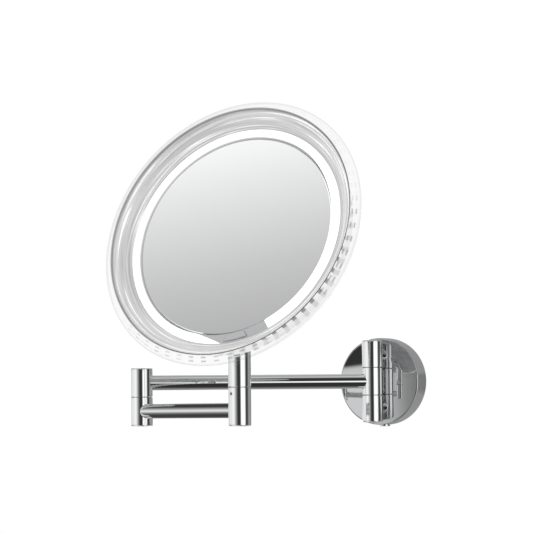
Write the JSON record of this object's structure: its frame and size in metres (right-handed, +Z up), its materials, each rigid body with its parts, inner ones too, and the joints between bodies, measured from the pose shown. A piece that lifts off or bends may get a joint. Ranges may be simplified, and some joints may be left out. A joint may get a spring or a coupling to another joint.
{
  "type": "extendable shaving mirror",
  "caption": "Round lit shaving mirror in a clear flared dish, on a swivel post and a folding two-part chrome arm from a round wall rosette.",
  "frame": {"origin": "centre of the wall plate's back face, on the wall", "axes": "+Y into the wall, +Z up, +X to the right for someone facing the wall; the mirror is on the -Y side"},
  "size_m": [0.2601, 0.2712, 0.2722],
  "materials": {
    "chrome": "polished chrome plate",
    "steel": "plain steel",
    "brass": "machined brass",
    "washer_plastic": "dark nylon",
    "clear_acrylic": "clear polished acrylic",
    "mirror_glass": "silvered glass",
    "foam": "closed-cell foam",
    "tray_plastic": "moulded ABS",
    "lit_diffuser": "opal diffuser, lit",
    "lamp_board": "white circuit board",
    "lamp": "lamp chip, lit",
    "silver_plastic": "silver lacquered ABS",
    "switch_black": "moulded",
    "cell_wrap": "plain wrap",
    "driver_green": "circuit board",
    "lead_red": "insulated wire",
    "lead_white": "insulated wire"
  },
  "bodies": {
    "wall": {"wall_plate": "steel", "rosette": "chrome", "rosette_screw": "chrome", "upper_stand_off": "chrome", "lower_stand_off": "chrome", "stand_off_screws": "steel", "wall_upper_knuckle": "chrome", "wall_lower_knuckle": "chrome", "wall_pin": "steel", "wall_pin_nut": "steel", "wall_seam_washers": "washer_plastic", "wall_upper_cap": "chrome", "wall_lower_cap": "chrome"},
    "arm_1": {"arm_1_wall_knuckle": "chrome", "arm_1_tube": "chrome", "arm_1_elbow_knuckle": "chrome", "elbow_pin": "steel", "elbow_upper_cap": "chrome", "elbow_spring_washer": "steel", "elbow_nut": "steel"},
    "arm_2": {"arm_2_elbow_knuckle": "chrome", "arm_2_tube": "chrome", "elbow_lower_cap": "chrome", "elbow_seam_washer": "washer_plastic", "post_lower_barrel": "chrome", "post_bush": "brass", "post_set_screw": "steel", "post_lower_cap": "chrome", "post_seam_washer": "washer_plastic"},
    "post": {"post_upper_barrel": "chrome", "tilt_screw": "chrome", "tilt_nut": "chrome", "tilt_washers": "washer_plastic"},
    "head": {"acrylic_dish": "clear_acrylic", "mirror_glass": "mirror_glass", "glass_pad": "foam", "head_tray": "tray_plastic", "light_ring": "lit_diffuser", "led_board": "lamp_board", "led_chips": "lamp", "switch_panel": "silver_plastic", "switch_board": "lamp_board", "push_switch": "switch_black", "battery_box": "tray_plastic", "battery_cells": "cell_wrap", "battery_contacts": "steel", "driver_board": "driver_green", "battery_leads": "lead_red", "lamp_leads": "lead_white", "switch_lead": "lead_white", "back_cover": "silver_plastic", "battery_door": "silver_plastic", "battery_door_screw": "steel", "back_cover_screws": "steel", "tilt_bracket": "steel", "bracket_screws": "steel"},
    "key": {"switch_key": "silver_plastic"}
  },
  "joints": [
    {"name": "wall_swing", "type": "hinge", "parent": "wall", "child": "arm_1", "pos_m": [0, -0.0297, 0], "axis": [0, 0, 1], "range_deg": [-35, 144]},
    {"name": "elbow_swing", "type": "hinge", "parent": "arm_1", "child": "arm_2", "pos_m": [-0.16508, -0.1468, -0.0245], "axis": [0, 0, -1], "range_deg": [-52, 178]},
    {"name": "head_swivel", "type": "hinge", "parent": "arm_2", "child": "post", "pos_m": [-0.03308, -0.21305, -0.0053], "axis": [0, 0, 1], "range_deg": [-35, 165]},
    {"name": "head_tilt", "type": "hinge", "parent": "post", "child": "head", "pos_m": [-0.03308, -0.21305, 0.0403], "axis": [-0.9995, 0.0323, 0], "range_deg": [-31, 23]},
    {"name": "switch_press", "type": "slide", "parent": "head", "child": "key", "axis": [0.03, 0.928, -0.3714], "range_m": [0, 0.0006], "stiffness_N_per_m": 1500, "springref_m": -0.0003}
  ]
}
